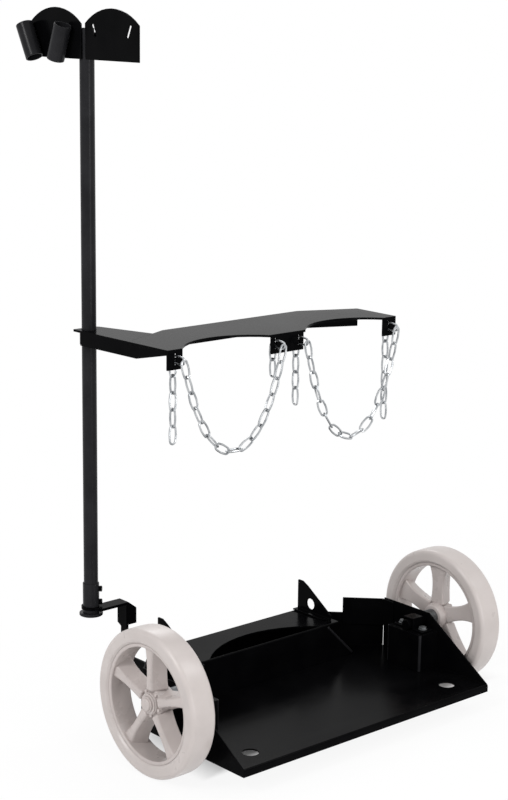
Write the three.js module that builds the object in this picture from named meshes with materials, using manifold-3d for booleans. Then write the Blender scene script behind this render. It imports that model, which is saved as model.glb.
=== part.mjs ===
// Two-bottle welding cart: a folded steel tray on two wheels, a bottle yoke with safety chains,
// and a tall post with a torch holder. Millimetres, +Z up, +X along the axle, +Y to the back.
import * as THREE from "three";
import { mergeVertices } from "three/addons/utils/BufferGeometryUtils.js";
import Module from "manifold-3d";

const wasm = await Module();
wasm.setup();

// Clearances
const seatGap = 0.3;
const runningGap = 0.3;
const boltGap = 0.3;

// Wheels and axles
const wheelRadius = 127;
const tyreWidth = 50;
const tyreShoulder = 12;
const tyreBore = 102;
const tyreBead = 5;
const wallToTyre = 24;
const rimWall = 6;
const rimWidth = 42;
const bossRadius = 25;
const bossInner = 25;
const bossOuter = 15;
const spokeCount = 5;
const spokeDepth = 24;
const spokeRootWidth = 28;
const spokeTipWidth = 38;
const spokeOverlap = 4;
const ridgeWidth = 12;
const ridgeDepth = 32;
const axleRadius = 9.5;
const axleEndInset = 4;
const bushWall = 3;
const spacerRadius = 15;
const washerRadius = 17;
const washerThickness = 2;
const capRadius = 13;
const capLength = 7;
const capChamfer = 2;

// Tray
const sheet = 3;
const trayHalfWidth = 293;
const trayFrontY = -165;
const trayRearY = 211;
const axleRise = 80;
const lipDrop = 13;
const wallRise = 97;
const wallKneeY = -16;
const cornerRun = 108;
const cornerSlit = 3;
const cornerFlangeRise = 64;
const braceBottomRise = 42;
const braceTopRise = 95;
const braceEndInset = 58;
const braceLeg = 30;
const drainRadius = 14;
const drainSideInset = 57;
const drainFrontInset = 49;

// Axle brackets inside the side walls, and the straps that hold the stub axles on them
const bracketDepth = 52;
const bracketHalfLength = 42;
const strapWidth = 26;
const strapEar = 24;

// Rear shelf and its gussets
const shelfRise = 72;
const shelfSideInset = 7;
const shelfDepth = 104;
const shelfArcHalf = 135;
const shelfArcDepth = 54;
const frontWallTopInset = 33;
const frontWallFootOutset = 39;
const gussetSideInset = 8;
const gussetThickness = 4;
const gussetRise = 58;
const gussetNoseInset = 14;
const gussetNoseHeight = 9;
const gussetCrestInset = 26;
const gussetCrestDrop = 7;
const gussetHeadLength = 12;
const gussetFoot = 12;
const gussetHoleRadius = 10.5;
const gussetHoleInset = 35;
const gussetHoleRise = 18;

// Post, socket and foot
const postRadius = 12.7;
const postWall = 2.5;
const postLength = 1020;
const postBehindTray = 79;
const postToLeg = 57;
const footRise = 139;
const footThickness = 5;
const footRadius = 21;
const footBarRise = 12;
const footBarWidth = 26;
const footEyeWall = 3;
const socketWall = 1.6;
const socketHeight = 54;
const socketBoltRises = [19.5, 43.5];
const legOutset = 18;
const legBehindTray = 51;
const legFootWidth = 16;
const legFlange = 23;
const legShoulderDrop = 43;
const legWaistDrop = 48;
const legBarInset = 2;

// Rail that ties the foot to the tray
const railThickness = 5;
const railRise = 11;
const railHeight = 38;
const railStartInset = 48;
const railBoltSpacing = 18;

// Bottle yoke
const yokeSheet = 4;
const yokeRise = 650;
const yokeMidX = -6.5;
const yokeDepth = 151;
const yokeRearHalf = 150;
const yokeEndHalf = 264;
const yokeEndRun = 51;
const yokeFlangeDrop = 32;
const bottleX = 137.5;
const scallopDepth = 47;
const scallopRadius = 122;
const tabDrop = 34;
const tabEndWidth = 31;
const tabCentreHalf = 37;
const hookEndX = 247;
const hookCentreX = 27;
const slotHeight = 22;
const slotDrop = 17;

// Arm from the yoke to the post
const armSheet = 3;
const armBehindPost = 18;
const armSeamShare = 0.66;
const armSeamSet = 4;
const armTipInset = 30;
const armTipChamfer = 7;
const armFlangeDrop = 26;
const armFlangeNose = 5;
const armFlangeTaper = 80;
const collarRadius = 16;

// Torch holder
const holderSheet = 3;
const holderGapOffset = 10;
const holderGap = 10;
const holderWidth = 146;
const holderDrop = 51;
const holderSide = 58;
const holderCrown = 26;
const slotLong = 22;
const slotWide = 6;
const slotLean = 24;
const slotInset = 26;
const slotRise = 48;
const saddleHeight = 40;
const saddleRise = 4;
const saddleEar = 30;
const tubeRadius = 15;
const tubeWall = 2.5;
const tubeLength = 62;
const tubeNearLean = 21;
const tubeFarLean = -28;
const tubeNearOffset = 45;
const tubeFarOffset = 131.6;
const tubeRise = 27;

// Bolts
const boltRadius = 4;
const boltHeadRadius = 7.5;
const boltHeadHeight = 5;
const boltEnd = 2;
const nutHeight = 6;
const screwRadius = 3;
const screwHeadRadius = 5.5;

// Chains
const wireRadius = 1.8;
const linkPitch = 28.5;
const linkWidth = 15;
const linkBite = 0.6;
const hookSlack = 2.4;
const leftLoopLinks = 15;
const rightLoopLinks = 16;
const leftTailLinks = 5;
const leftInnerTailLinks = 2;
const rightInnerTailLinks = 4;
const rightTailLinks = 6;

// Places that follow from the sizes above
const axleHeight = wheelRadius;
const wheelX = trayHalfWidth + wallToTyre + tyreWidth / 2;
const floorTop = axleHeight - axleRise;
const floorBottom = floorTop - sheet;
const wallTop = floorTop + wallRise;
const wallInnerX = trayHalfWidth - sheet;
const cornerY = trayRearY - cornerRun;
const trayRearHalf = trayHalfWidth - cornerRun;
const braceEndX = trayHalfWidth - braceEndInset;
const drainX = trayHalfWidth - drainSideInset;
const drainY = trayFrontY + drainFrontInset;
const bracketInnerX = trayHalfWidth - bracketDepth;
const bracketTop = axleHeight - axleRadius - seatGap;
const strapX = (bracketInnerX + wallInnerX) / 2;
const strapInner = axleRadius + seatGap;
const strapBoltY = strapInner + sheet + strapEar / 2;
const shelfTop = floorTop + shelfRise;
const shelfHalfWidth = trayRearHalf - shelfSideInset;
const shelfFrontY = trayRearY - shelfDepth;
const gussetX = shelfHalfWidth - gussetSideInset;
const gussetNoseY = shelfFrontY + gussetNoseInset;
const legX = -trayRearHalf - legOutset;
const postX = legX - postToLeg;
const postY = trayRearY + postBehindTray;
const footTop = floorTop + footRise;
const barTop = footTop + footBarRise;
const postTop = footTop + postLength;
const legFrontY = trayRearY + legBehindTray;
const legRearY = postY - legBarInset;
const legWaistY = legFrontY + legFootWidth;
const legBoltY = legFrontY + legFootWidth / 2;
const railBottom = floorTop + railRise;
const railMid = railBottom + railHeight / 2;
const legBoltHeights = [railMid - railBoltSpacing / 2, railMid + railBoltSpacing / 2];
const railStartX = railStartInset - trayHalfWidth;
const railOuterX = legX + footThickness + seatGap;
const railInnerX = railOuterX + railThickness;
const socketInner = postRadius + seatGap;
const socketOuter = socketInner + socketWall;
const socketBoltTurn = Math.PI / 4;
const socketBoltHeights = socketBoltRises.map((rise) => footTop + rise);
const yokeTop = floorTop + yokeRise;
const yokeUnder = yokeTop - yokeSheet;
const yokeRearY = trayRearY;
const yokeFrontY = yokeRearY - yokeDepth;
const yokeEndY = yokeRearY - yokeEndRun;
const yokeLeft = yokeMidX - yokeEndHalf;
const yokeRight = yokeMidX + yokeEndHalf;
const hookPlaces = [-hookEndX, -hookCentreX, hookCentreX, hookEndX].map((x) => yokeMidX + x);
const slotZ = yokeTop - slotDrop;
const hookBackY = yokeFrontY + yokeSheet + wireRadius + hookSlack;
const armRearY = postY + armBehindPost;
const armReach = Math.hypot(postX - yokeLeft, postY - yokeFrontY);
const armBearing = Math.atan2(postX - yokeLeft, postY - yokeFrontY);
const armSet = collarRadius + seatGap + armSheet;
const armSplay = Math.tan(armBearing - Math.asin(armSet / armReach));
const armRearX = yokeLeft + armSplay * (armRearY - yokeFrontY);
const armCornerX = yokeLeft + armSplay * (yokeEndY - yokeFrontY);
const armUnder = yokeTop - yokeSheet;
const holderGapY = postY - holderGapOffset;
const holderBottom = postTop - holderDrop;
const holderFrontX = postX - postRadius - seatGap - holderSheet;
const holderBackX = holderFrontX + holderSheet;
const saddleInner = postRadius + seatGap;
const saddleBottom = holderBottom + saddleRise;
const tubeNearY = holderGapY + tubeNearOffset;
const tubeFarY = holderGapY + tubeFarOffset;
const tubeMidZ = holderBottom + tubeRise;
const boltHole = boltRadius + boltGap;
const screwHole = screwRadius + boltGap;
const toolOver = 1;
const turn = Math.PI * 2;

// Facets of round forms
const curveSteps = 6;
const wheelSides = 32;
const spokeSteps = 4;
const roundSides = 16;
const smallSides = 8;
const wireSides = 5;
const linkSteps = 8;

const blackPaint = { color: 0x0d0d0e, roughness: 0.22, metalness: 0.1 };
const zinc = { color: 0xb8bbbf, roughness: 0.32, metalness: 0.9 };
const tyreRubber = { color: 0xc2b8b5, roughness: 0.6, metalness: 0 };
const hubPlastic = { color: 0xc9c1be, roughness: 0.5, metalness: 0 };
const nylon = { color: 0xe4dfd4, roughness: 0.6, metalness: 0 };

// A three.js geometry as a closed solid for cutting and joining.
function solidOf(geometry) {
  const bare = geometry.index ? geometry.toNonIndexed() : geometry.clone();
  bare.deleteAttribute("normal");
  bare.deleteAttribute("uv");
  const merged = mergeVertices(bare, 1e-4);
  const mesh = new wasm.Mesh({
    numProp: 3,
    vertProperties: merged.attributes.position.array,
    triVerts: new Uint32Array(merged.index.array),
  });
  return new wasm.Manifold(mesh);
}

function geometryOf(solid) {
  const mesh = solid.getMesh();
  const geometry = new THREE.BufferGeometry();
  geometry.setAttribute("position", new THREE.BufferAttribute(new Float32Array(mesh.vertProperties), 3));
  geometry.setIndex(new THREE.BufferAttribute(new Uint32Array(mesh.triVerts), 1));
  const faceted = geometry.toNonIndexed();
  faceted.computeVertexNormals();
  return faceted;
}

function joined(geometries) {
  return geometries.map(solidOf).reduce((whole, next) => whole.add(next));
}

function cut(solid, geometries) {
  return geometries.map(solidOf).reduce((rest, tool) => rest.subtract(tool), solid);
}

function addPart(group, name, shape, finish) {
  const geometry = shape.isBufferGeometry ? shape : geometryOf(shape);
  const mesh = new THREE.Mesh(geometry, new THREE.MeshStandardMaterial(finish));
  mesh.name = name;
  group.add(mesh);
  return mesh;
}

function polygon(points) {
  return new THREE.Shape(points.map(([x, y]) => new THREE.Vector2(x, y)));
}

// A round hole whose facets stay outside the radius.
function roundHole(x, y, radius) {
  const hole = new THREE.Path();
  hole.absarc(x, y, radius / Math.cos(Math.PI / (2 * curveSteps)), 0, turn, false);
  return hole;
}

// Flat sheets: a shape in plan raised from z, in side view pushed along +X from x,
// and in front view pushed along +Y from y.
function flatSheet(shape, thickness, z, curveSegments = curveSteps) {
  const geometry = new THREE.ExtrudeGeometry(shape, { depth: thickness, bevelEnabled: false, curveSegments });
  return geometry.translate(0, 0, z);
}

function sideSheet(shape, thickness, x) {
  const geometry = flatSheet(shape, thickness, 0);
  const axes = [new THREE.Vector3(0, 1, 0), new THREE.Vector3(0, 0, 1), new THREE.Vector3(1, 0, 0)];
  geometry.applyMatrix4(new THREE.Matrix4().makeBasis(...axes));
  return geometry.translate(x, 0, 0);
}

function frontSheet(shape, thickness, y) {
  const geometry = flatSheet(shape, thickness, 0);
  const axes = [new THREE.Vector3(1, 0, 0), new THREE.Vector3(0, 0, 1), new THREE.Vector3(0, -1, 0)];
  geometry.applyMatrix4(new THREE.Matrix4().makeBasis(...axes));
  return geometry.translate(0, y + thickness, 0);
}

// Round pieces: a profile of [radius, height] turned about +Z, and plain rods along each axis.
function turned(profile, sides = roundSides) {
  const points = profile.map(([radius, height]) => new THREE.Vector2(radius, height));
  return new THREE.LatheGeometry(points, sides).rotateX(Math.PI / 2);
}

function ring(inner, outer, low, high, sides = roundSides) {
  const corners = [[inner, low], [outer, low], [outer, high], [inner, high], [inner, low]];
  return turned(corners, sides);
}

function rodZ(radius, low, high, sides = roundSides) {
  return turned([[0, low], [radius, low], [radius, high], [0, high]], sides);
}

function rodX(radius, low, high, sides = roundSides) {
  return rodZ(radius, low, high, sides).rotateY(Math.PI / 2);
}

function hexagon(radius, height) {
  return new THREE.CylinderGeometry(radius, radius, height, 6).rotateX(Math.PI / 2);
}

// A bolt along +Z through a stack from 0 to grip, with its head below and its nut above.
function boltSolid(grip) {
  const head = hexagon(boltHeadRadius, boltHeadHeight).translate(0, 0, -boltHeadHeight / 2 - seatGap);
  const nut = hexagon(boltHeadRadius, nutHeight).translate(0, 0, grip + nutHeight / 2 + seatGap);
  const shank = rodZ(boltRadius, -boltHeadHeight / 2, grip + seatGap + nutHeight + boltEnd, smallSides);
  return joined([head, nut, shank]);
}

// Tray: floor with folded front lip, side walls that reach as low as the lip, and low rear corner flanges
function trayPan() {
  const outline = polygon([
    [-trayHalfWidth, trayFrontY],
    [trayHalfWidth, trayFrontY],
    [trayHalfWidth, cornerY],
    [trayRearHalf, trayRearY],
    [-trayRearHalf, trayRearY],
    [-trayHalfWidth, cornerY],
  ]);
  outline.holes.push(roundHole(drainX, drainY, drainRadius), roundHole(-drainX, drainY, drainRadius));
  const floor = flatSheet(outline, sheet, floorBottom);
  const lip = frontSheet(
    polygon([
      [-trayHalfWidth, floorTop - lipDrop],
      [trayHalfWidth, floorTop - lipDrop],
      [trayHalfWidth, floorTop],
      [-trayHalfWidth, floorTop],
    ]),
    sheet,
    trayFrontY,
  );
  const wall = polygon([
    [trayFrontY, floorTop - lipDrop],
    [cornerY - cornerSlit, floorTop - lipDrop],
    [cornerY - cornerSlit, wallTop],
    [wallKneeY, wallTop],
    [trayFrontY, floorTop],
  ]);
  wall.holes.push(roundHole(0, axleHeight, axleRadius + runningGap));
  const walls = [sideSheet(wall, sheet, wallInnerX), sideSheet(wall, sheet, -trayHalfWidth)];
  const flanges = [1, -1].map((side) => {
    const slant = sheet * Math.SQRT2;
    const plan = polygon([
      [side * trayHalfWidth, cornerY],
      [side * trayRearHalf, trayRearY],
      [side * (trayRearHalf - slant), trayRearY],
      [side * (trayHalfWidth - slant), cornerY],
    ]);
    return flatSheet(plan, cornerFlangeRise + sheet, floorBottom);
  });
  return joined([floor, lip, ...walls, ...flanges]);
}

// Corner brace: a strip that runs from the side wall along the inside of the corner flange
function cornerBrace(side) {
  const wallFace = wallInnerX - seatGap;
  const outerSum = trayHalfWidth + cornerY - (sheet + seatGap) * Math.SQRT2;
  const innerSum = outerSum - sheet * Math.SQRT2;
  const half = sheet / Math.SQRT2;
  const plan = polygon(
    [
      [wallFace, cornerY - braceLeg],
      [wallFace, outerSum - wallFace],
      [braceEndX, outerSum - braceEndX],
      [braceEndX - half, outerSum - braceEndX - half],
      [wallFace - sheet, innerSum - wallFace + sheet],
      [wallFace - sheet, cornerY - braceLeg],
    ].map(([x, y]) => [side * x, y]),
  );
  return flatSheet(plan, braceTopRise - braceBottomRise, floorTop + braceBottomRise);
}

// Axle bracket: a closed-top U that stands on the floor against the side wall
function axleBracket(side) {
  const wallFace = wallInnerX - seatGap;
  const inner = bracketInnerX + sheet;
  const plan = polygon(
    [
      [wallFace, -bracketHalfLength],
      [bracketInnerX, -bracketHalfLength],
      [bracketInnerX, bracketHalfLength],
      [wallFace, bracketHalfLength],
      [wallFace, bracketHalfLength - sheet],
      [inner, bracketHalfLength - sheet],
      [inner, sheet - bracketHalfLength],
      [wallFace, sheet - bracketHalfLength],
    ].map(([x, y]) => [side * x, y]),
  );
  const foot = floorTop + seatGap;
  const lid = polygon(
    [
      [bracketInnerX, -bracketHalfLength],
      [wallFace, -bracketHalfLength],
      [wallFace, bracketHalfLength],
      [bracketInnerX, bracketHalfLength],
    ].map(([x, y]) => [side * x, y]),
  );
  [strapBoltY, -strapBoltY].forEach((y) => lid.holes.push(roundHole(side * strapX, y, boltHole)));
  return joined([flatSheet(plan, bracketTop - foot, foot), flatSheet(lid, sheet, bracketTop - sheet)]);
}

// Axle strap: a hat section over the stub axle, bolted to the bracket through its ears
function axleStrap(side) {
  const ear = bracketTop + seatGap;
  const crown = axleHeight + axleRadius + seatGap;
  const outer = strapInner + sheet;
  const end = outer + strapEar;
  const section = polygon([
    [-end, ear],
    [-strapInner, ear],
    [-strapInner, crown],
    [strapInner, crown],
    [strapInner, ear],
    [end, ear],
    [end, ear + sheet],
    [outer, ear + sheet],
    [outer, crown + sheet],
    [-outer, crown + sheet],
    [-outer, ear + sheet],
    [-end, ear + sheet],
  ]);
  const hat = sideSheet(section, strapWidth, side * strapX - strapWidth / 2);
  const holes = [strapBoltY, -strapBoltY].map((y) => {
    return rodZ(boltHole, ear - toolOver, ear + sheet + toolOver, smallSides).translate(side * strapX, y, 0);
  });
  return cut(solidOf(hat), holes);
}

// Rear shelf: front wall, shelf with its concave front edge, and rear wall, folded from one sheet
function rearShelf() {
  const foot = floorTop + seatGap;
  const footHalf = shelfHalfWidth + frontWallFootOutset;
  const topHalf = shelfHalfWidth - frontWallTopInset;
  const wall = polygon([
    [-footHalf, foot],
    [footHalf, foot],
    [topHalf, shelfTop],
    [-topHalf, shelfTop],
  ]);
  const arcRadius = (shelfArcHalf ** 2 + shelfArcDepth ** 2) / (2 * shelfArcDepth);
  const arcCentreY = shelfFrontY + sheet + shelfArcDepth - arcRadius;
  const arcEnd = Math.asin(shelfArcHalf / arcRadius);
  const shelf = new THREE.Shape();
  shelf.moveTo(-shelfHalfWidth, shelfFrontY);
  shelf.lineTo(-shelfHalfWidth, trayRearY);
  shelf.lineTo(shelfHalfWidth, trayRearY);
  shelf.lineTo(shelfHalfWidth, shelfFrontY);
  shelf.lineTo(shelfArcHalf, shelfFrontY);
  shelf.absarc(0, arcCentreY, arcRadius, Math.PI / 2 - arcEnd, Math.PI / 2 + arcEnd, false);
  shelf.lineTo(-shelfArcHalf, shelfFrontY);
  const rear = polygon([
    [-shelfHalfWidth, foot],
    [shelfHalfWidth, foot],
    [shelfHalfWidth, shelfTop],
    [-shelfHalfWidth, shelfTop],
  ]);
  return joined([
    frontSheet(wall, sheet, shelfFrontY),
    flatSheet(shelf, sheet, shelfTop - sheet),
    frontSheet(rear, sheet, trayRearY - sheet),
  ]);
}

// Gusset: a low triangular plate with a foot, standing on the shelf
function gusset(side) {
  const base = shelfTop + seatGap;
  const top = shelfTop + gussetRise;
  const outline = polygon([
    [trayRearY, base],
    [trayRearY, top],
    [trayRearY - gussetHeadLength, top],
    [trayRearY - gussetCrestInset, top - gussetCrestDrop],
    [gussetNoseY, base + gussetNoseHeight],
    [gussetNoseY, base],
  ]);
  outline.holes.push(roundHole(trayRearY - gussetHoleInset, shelfTop + gussetHoleRise, gussetHoleRadius));
  const web = sideSheet(outline, gussetThickness, side * gussetX - gussetThickness / 2);
  const innerX = gussetX - gussetThickness / 2 - gussetFoot;
  const foot = polygon(
    [
      [innerX, gussetNoseY + gussetFoot],
      [gussetX, gussetNoseY],
      [gussetX, trayRearY],
      [innerX, trayRearY],
    ].map(([x, y]) => [side * x, y]),
  );
  return joined([web, flatSheet(foot, sheet, base)]);
}

// Wheel pieces are made about their own axis along +X, outer side towards +X.
function tyre() {
  const half = tyreWidth / 2;
  const section = new THREE.Path();
  section.moveTo(tyreBore, tyreBead - half);
  section.lineTo(tyreBore + tyreBead, -half);
  section.absarc(wheelRadius - tyreShoulder, tyreShoulder - half, tyreShoulder, -Math.PI / 2, 0, false);
  section.absarc(wheelRadius - tyreShoulder, half - tyreShoulder, tyreShoulder, 0, Math.PI / 2, false);
  section.lineTo(tyreBore + tyreBead, half);
  section.lineTo(tyreBore, half - tyreBead);
  section.lineTo(tyreBore, tyreBead - half);
  const profile = section.getPoints(1).map((point) => [point.x, point.y]);
  return turned(profile, wheelSides).rotateY(Math.PI / 2);
}

function spokeShape(rootWidth, tipWidth) {
  const rootRadius = bossRadius - spokeOverlap;
  const tipRadius = tyreBore - seatGap - rimWall / 2;
  const middle = (rootRadius + tipRadius) / 2;
  const shape = new THREE.Shape();
  shape.moveTo(rootRadius, -rootWidth / 2);
  shape.quadraticCurveTo(middle, -rootWidth / 2, tipRadius, -tipWidth / 2);
  shape.lineTo(tipRadius, tipWidth / 2);
  shape.quadraticCurveTo(middle, rootWidth / 2, rootRadius, rootWidth / 2);
  return shape;
}

// Wheel hub: rim, boss and spokes, one of which points up
function wheelHub() {
  const rimOuter = tyreBore - seatGap;
  const rim = ring(rimOuter - rimWall, rimOuter, -rimWidth / 2, rimWidth / 2, wheelSides);
  const boss = rodZ(bossRadius, -bossInner, bossOuter);
  const pieces = [rim, boss];
  for (let i = 0; i < spokeCount; i += 1) {
    const angle = turn / 2 + (turn * i) / spokeCount;
    const bladeShape = spokeShape(spokeRootWidth, spokeTipWidth);
    const ridgeShape = spokeShape(ridgeWidth, ridgeWidth);
    const blade = flatSheet(bladeShape, spokeDepth, -spokeDepth / 2, spokeSteps);
    const ridge = flatSheet(ridgeShape, ridgeDepth, -ridgeDepth / 2, spokeSteps);
    pieces.push(blade.rotateZ(angle), ridge.rotateZ(angle));
  }
  const bore = rodZ(axleRadius + runningGap + bushWall + seatGap, -tyreWidth, tyreWidth);
  return geometryOf(cut(joined(pieces), [bore])).rotateY(Math.PI / 2);
}

function wheelBush() {
  const inner = axleRadius + runningGap;
  return ring(inner, inner + bushWall, -bossInner, bossOuter).rotateY(Math.PI / 2);
}

// Stub axle: a bar that lies on the bracket and passes through the wall and the wheel
function stubAxle() {
  const end = bossOuter + washerThickness + 2 * seatGap + capLength / 2;
  return rodX(axleRadius, bracketInnerX + axleEndInset - wheelX, end);
}

function axleSpacer() {
  const low = trayHalfWidth + seatGap - wheelX;
  const high = -bossInner - runningGap;
  return ring(axleRadius + runningGap, spacerRadius, low, high).rotateY(Math.PI / 2);
}

function axleWasher() {
  const low = bossOuter + runningGap;
  return ring(axleRadius + runningGap, washerRadius, low, low + washerThickness).rotateY(Math.PI / 2);
}

function axleCap() {
  const low = bossOuter + runningGap + washerThickness + seatGap;
  const bore = axleRadius + runningGap;
  const floor = bossOuter + washerThickness + 2 * seatGap + capLength / 2 + seatGap;
  const profile = [
    [bore, low],
    [capRadius, low],
    [capRadius, low + capLength - capChamfer],
    [capRadius - capChamfer, low + capLength],
    [0, low + capLength],
    [0, floor],
    [bore, floor],
    [bore, low],
  ];
  return turned(profile).rotateY(Math.PI / 2);
}

// Foot bracket: an eye round the socket with a bar to a leg, flanged at the front of its head
function footBracket() {
  const low = barTop - footThickness;
  const eye = rodZ(socketOuter + footEyeWall, low, barTop).translate(postX, postY, 0);
  const barEnd = legX + footThickness;
  const bar = polygon([
    [postX, legRearY - footBarWidth],
    [barEnd, legRearY - footBarWidth],
    [barEnd, legRearY],
    [postX, legRearY],
  ]);
  const leg = polygon([
    [legRearY, barTop],
    [legRearY, barTop - legShoulderDrop],
    [legWaistY, barTop - legWaistDrop],
    [legWaistY, railBottom],
    [legFrontY, railBottom],
    [legFrontY, barTop],
  ]);
  legBoltHeights.forEach((z) => leg.holes.push(roundHole(legBoltY, z, boltHole)));
  const flange = polygon([
    [legX, barTop - legShoulderDrop],
    [legX + legFlange, barTop - legShoulderDrop],
    [legX + legFlange, barTop],
    [legX, barTop],
  ]);
  const pieces = [
    flatSheet(bar, footThickness, low),
    sideSheet(leg, footThickness, legX),
    frontSheet(flange, footThickness, legFrontY),
  ];
  const whole = joined([eye, ...pieces]);
  const bore = rodZ(socketOuter + seatGap, low - toolOver, barTop + toolOver);
  return cut(whole, [bore.translate(postX, postY, 0)]);
}

function socketBase() {
  return rodZ(footRadius, footTop - footThickness, footTop).translate(postX, postY, 0);
}

// Side rail: lies on the outside of the corner flange, then runs back to the leg
function sideRail() {
  const innerLine = cornerY + trayHalfWidth + seatGap * Math.SQRT2;
  const outerLine = innerLine + railThickness * Math.SQRT2;
  const half = railThickness / Math.SQRT2;
  const plan = polygon([
    [railStartX, innerLine + railStartX],
    [railInnerX, innerLine + railInnerX],
    [railInnerX, legWaistY],
    [railOuterX, legWaistY],
    [railOuterX, outerLine + railOuterX],
    [railStartX - half, innerLine + railStartX + half],
  ]);
  const bar = flatSheet(plan, railHeight, railBottom);
  const holes = legBoltHeights.map((z) => {
    return rodX(boltHole, railOuterX - toolOver, railInnerX + toolOver, smallSides).translate(0, legBoltY, z);
  });
  return cut(solidOf(bar), holes);
}

// Post in its socket, both drilled for the socket bolts
function socketBoltHoles() {
  return socketBoltHeights.map((z) => {
    const drill = rodZ(screwHole, 0, socketOuter + toolOver, smallSides).rotateX(Math.PI / 2);
    return drill.rotateZ(socketBoltTurn).translate(postX, postY, z);
  });
}

function post() {
  const tube = ring(postRadius - postWall, postRadius, footTop + seatGap, postTop);
  return cut(solidOf(tube.translate(postX, postY, 0)), socketBoltHoles());
}

function postSocket() {
  const low = footTop + seatGap;
  const sleeve = ring(socketInner, socketOuter, low, low + socketHeight);
  return cut(solidOf(sleeve.translate(postX, postY, 0)), socketBoltHoles());
}

// Socket screw: hexagon head against the sleeve, point inside the post
function socketScrew() {
  const headMid = socketOuter + seatGap + boltHeadHeight / 2;
  const head = hexagon(screwHeadRadius, boltHeadHeight).translate(0, 0, headMid);
  const shank = rodZ(screwRadius, postRadius - postWall - boltEnd, socketOuter + boltHeadHeight, smallSides);
  return geometryOf(joined([head, shank])).rotateX(Math.PI / 2).rotateZ(socketBoltTurn);
}

// Yoke: a plate scalloped for two bottles, with a rear flange and slotted tabs
function yokePlate() {
  const scallopCentreY = yokeFrontY + scallopDepth - scallopRadius;
  const reach = yokeFrontY - scallopCentreY;
  const half = Math.sqrt(scallopRadius ** 2 - reach ** 2);
  const start = Math.atan2(reach, half);
  const rearLeft = yokeMidX - yokeRearHalf;
  const rearRight = yokeMidX + yokeRearHalf;
  const outline = new THREE.Shape();
  outline.moveTo(yokeRight, yokeFrontY);
  outline.lineTo(yokeRight, yokeEndY);
  outline.lineTo(rearRight, yokeRearY);
  outline.lineTo(rearLeft, yokeRearY);
  outline.lineTo(armCornerX, yokeEndY);
  outline.lineTo(yokeLeft, yokeFrontY);
  outline.absarc(yokeMidX - bottleX, scallopCentreY, scallopRadius, Math.PI - start, start, true);
  outline.absarc(yokeMidX + bottleX, scallopCentreY, scallopRadius, Math.PI - start, start, true);
  const top = flatSheet(outline, yokeSheet, yokeUnder);
  const slope = Math.atan2(yokeEndRun, yokeEndHalf - yokeRearHalf);
  const lean = yokeSheet * Math.tan(slope / 2);
  const flange = polygon([
    [rearLeft, yokeRearY],
    [rearRight, yokeRearY],
    [yokeRight, yokeEndY],
    [yokeRight - yokeSheet * Math.sin(slope), yokeEndY - yokeSheet * Math.cos(slope)],
    [rearRight - lean, yokeRearY - yokeSheet],
    [rearLeft, yokeRearY - yokeSheet],
  ]);
  const tabs = [
    [yokeLeft, yokeLeft + tabEndWidth],
    [yokeMidX - tabCentreHalf, yokeMidX + tabCentreHalf],
    [yokeRight - tabEndWidth, yokeRight],
  ].map(([low, high]) => {
    const tab = polygon([
      [low, yokeTop - tabDrop],
      [high, yokeTop - tabDrop],
      [high, yokeTop],
      [low, yokeTop],
    ]);
    hookPlaces.filter((x) => x > low && x < high).forEach((x) => tab.holes.push(hookSlot(x)));
    return frontSheet(tab, yokeSheet, yokeFrontY);
  });
  return joined([top, flatSheet(flange, yokeFlangeDrop, yokeTop - yokeFlangeDrop), ...tabs]);
}

function hookSlot(x) {
  const radius = wireRadius + seatGap;
  const straight = slotHeight / 2 - radius;
  const slot = new THREE.Path();
  slot.absarc(x, slotZ + straight, radius, 0, Math.PI, false);
  slot.absarc(x, slotZ - straight, radius, Math.PI, turn, false);
  slot.closePath();
  return slot;
}

// Arm: a tapered top that meets the yoke edge to edge, with an outer flange that runs into the collar
function yokeArm() {
  const rearLeft = yokeMidX - yokeRearHalf;
  const seamX = armCornerX + armSeamShare * (rearLeft - armCornerX);
  const seamY = yokeEndY + armSeamShare * yokeEndRun;
  const tipX = postX + armTipInset;
  const top = polygon([
    [armCornerX + armSplay * seatGap, yokeEndY + seatGap],
    [seamX, seamY + seatGap],
    [tipX, armRearY - armTipChamfer],
    [tipX - armTipChamfer, armRearY],
    [armRearX, armRearY],
  ]);
  top.holes.push(roundHole(postX, postY, postRadius + boltGap));
  const slant = Math.hypot(1, armSplay);
  const noseRun = (yokeSheet + seatGap) * slant;
  const seamRun = (yokeEndY - yokeFrontY) * slant + armSeamSet;
  const rearRun = Math.sqrt(armReach ** 2 - armSet ** 2);
  const underYoke = yokeUnder - seatGap;
  const flange = polygon([
    [noseRun, underYoke],
    [noseRun, underYoke - armFlangeNose],
    [armFlangeTaper, yokeTop - armFlangeDrop],
    [rearRun, yokeTop - armFlangeDrop],
    [rearRun, yokeTop],
    [seamRun, yokeTop],
    [seamRun, underYoke],
  ]);
  const web = sideSheet(flange, armSheet, 0).rotateZ(-Math.atan(armSplay));
  web.translate(yokeLeft, yokeFrontY, 0);
  return joined([flatSheet(top, yokeSheet, armUnder), web]);
}

function armCollar() {
  const sleeve = ring(postRadius + seatGap, collarRadius, yokeTop - armFlangeDrop, armUnder - seatGap);
  return sleeve.translate(postX, postY, 0);
}

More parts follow.
